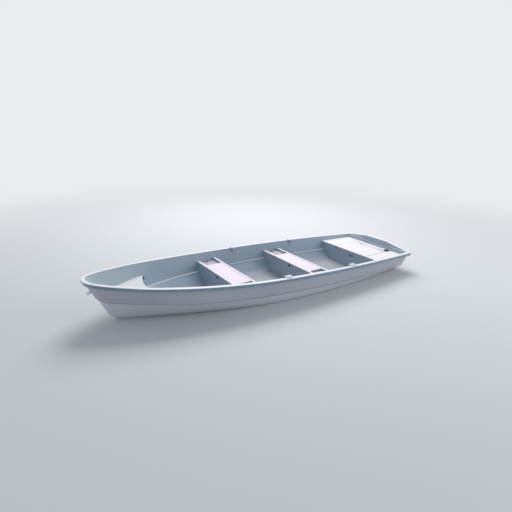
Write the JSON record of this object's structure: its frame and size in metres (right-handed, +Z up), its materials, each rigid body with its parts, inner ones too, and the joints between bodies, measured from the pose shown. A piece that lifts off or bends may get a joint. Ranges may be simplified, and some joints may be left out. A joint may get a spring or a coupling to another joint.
{
  "type": "rowing boat",
  "caption": "Open glass-fibre rowing boat with box thwarts, bow and stern seats, a lidded stern locker and rowlock sockets.",
  "frame": {"origin": "amidships on the centre plane, at the level of still water when the empty boat floats", "axes": "+X points to the bow, +Y to port, +Z up"},
  "size_m": [4.3952, 1.4374, 0.6502],
  "materials": {
    "hull_gelcoat": "gloss gelcoat",
    "rim_gelcoat": "satin gelcoat",
    "liner_gelcoat": "satin gelcoat",
    "grey_plastic": "moulded",
    "black_plastic": "moulded",
    "stainless": "polished"
  },
  "bodies": {
    "boat": {"hull_bow": "hull_gelcoat", "hull_fore": "hull_gelcoat", "hull_mid": "hull_gelcoat", "hull_aft": "hull_gelcoat", "hull_stern": "hull_gelcoat", "keel": "hull_gelcoat", "gunwale_bow": "rim_gelcoat", "gunwale_port": "rim_gelcoat", "gunwale_starboard": "rim_gelcoat", "gunwale_transom": "rim_gelcoat", "liner_bow": "liner_gelcoat", "liner_fore": "liner_gelcoat", "liner_mid": "liner_gelcoat", "liner_aft": "liner_gelcoat", "liner_stern": "liner_gelcoat", "forward_thwart": "liner_gelcoat", "aft_thwart": "liner_gelcoat", "bow_seat": "liner_gelcoat", "stern_seat": "liner_gelcoat", "rowlock_socket_forward_port": "grey_plastic", "rowlock_socket_forward_starboard": "grey_plastic", "rowlock_socket_aft_port": "grey_plastic", "rowlock_socket_aft_starboard": "grey_plastic", "vent_plug_forward": "black_plastic", "vent_plug_aft": "black_plastic", "inspection_cap": "black_plastic", "bow_eye": "stainless", "stern_eye_port": "stainless", "stern_eye_starboard": "stainless", "hinge_seat_leaf_port": "stainless", "hinge_seat_leaf_starboard": "stainless", "hinge_pin_port": "stainless", "hinge_pin_starboard": "stainless"},
    "lid": {"locker_lid": "liner_gelcoat", "hinge_lid_leaf_port": "stainless", "hinge_lid_leaf_starboard": "stainless"}
  },
  "joints": [
    {"name": "lid_hinge", "type": "hinge", "parent": "boat", "child": "lid", "pos_m": [-2.0175, 0.01, 0.2328], "axis": [0, -1, 0], "range_deg": [0, 100]}
  ]
}
